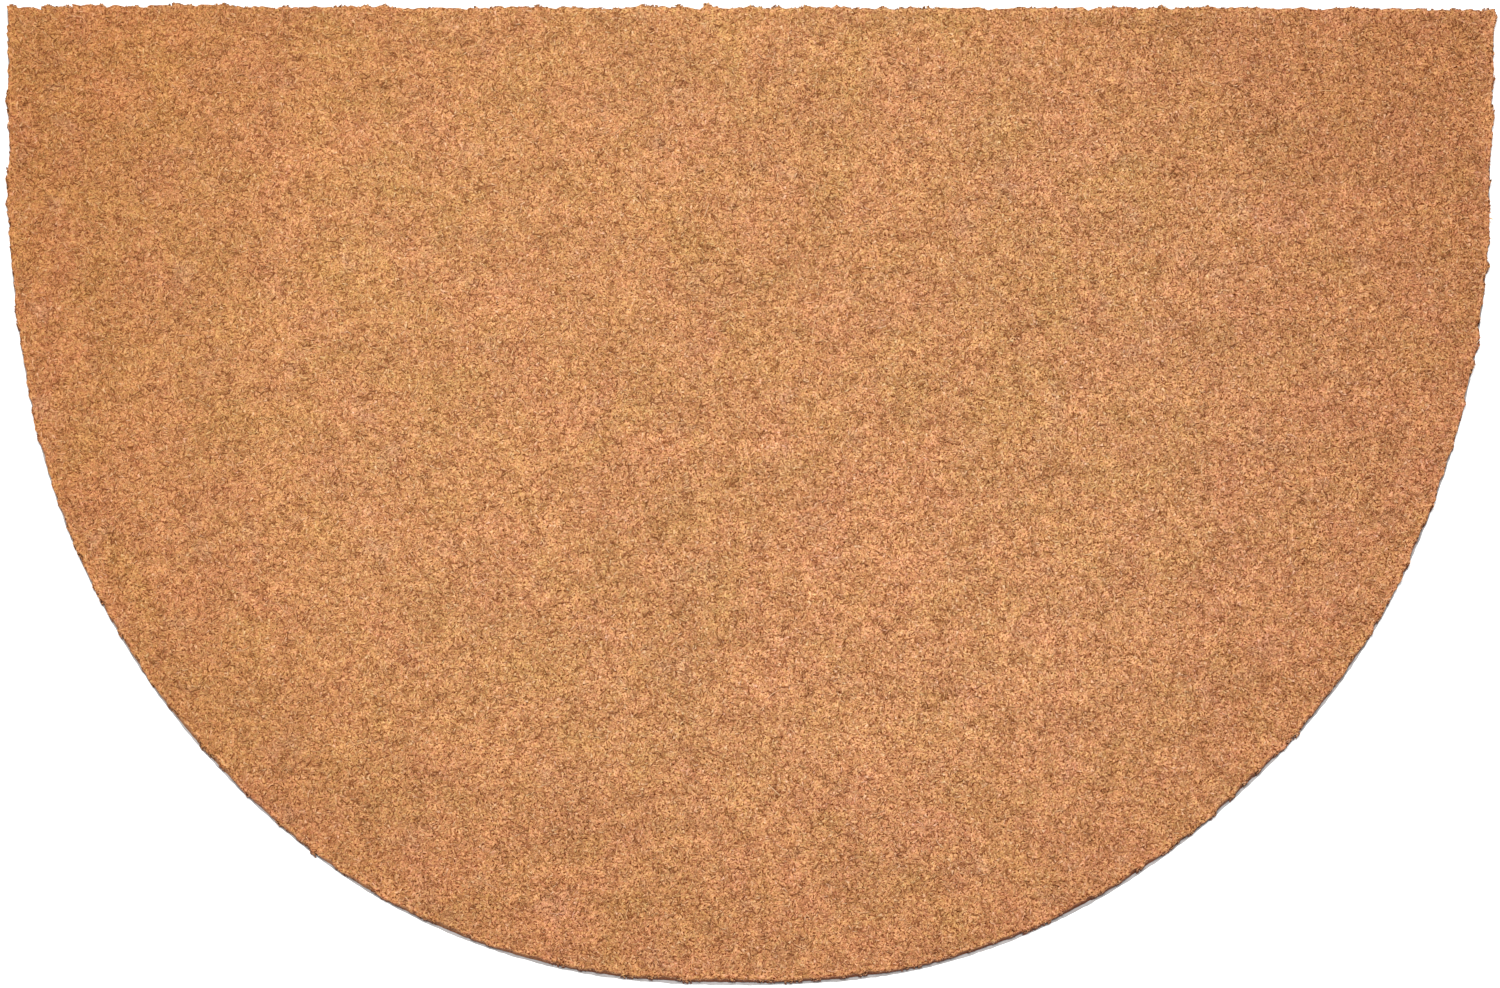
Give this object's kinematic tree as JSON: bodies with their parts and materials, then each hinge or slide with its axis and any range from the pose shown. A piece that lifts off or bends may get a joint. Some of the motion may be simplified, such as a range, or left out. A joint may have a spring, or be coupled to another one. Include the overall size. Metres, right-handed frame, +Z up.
{
  "type": "half round doormat",
  "caption": "Half round coir doormat with one straight edge: a dense trimmed coconut fibre pile fused to a thin flexible backing sheet.",
  "frame": {"origin": "under the middle of the mat's outline, on the floor", "axes": "+X along the straight back edge, +Y towards that edge, +Z up out of the pile"},
  "size_m": [0.9152, 0.6084, 0.0153],
  "materials": {
    "backing": "matte grey flexible sheet",
    "pile": "natural golden brown coconut fibre, cut pile"
  },
  "bodies": {
    "root": {"backing": "backing", "pile": "pile"}
  },
  "joints": []
}
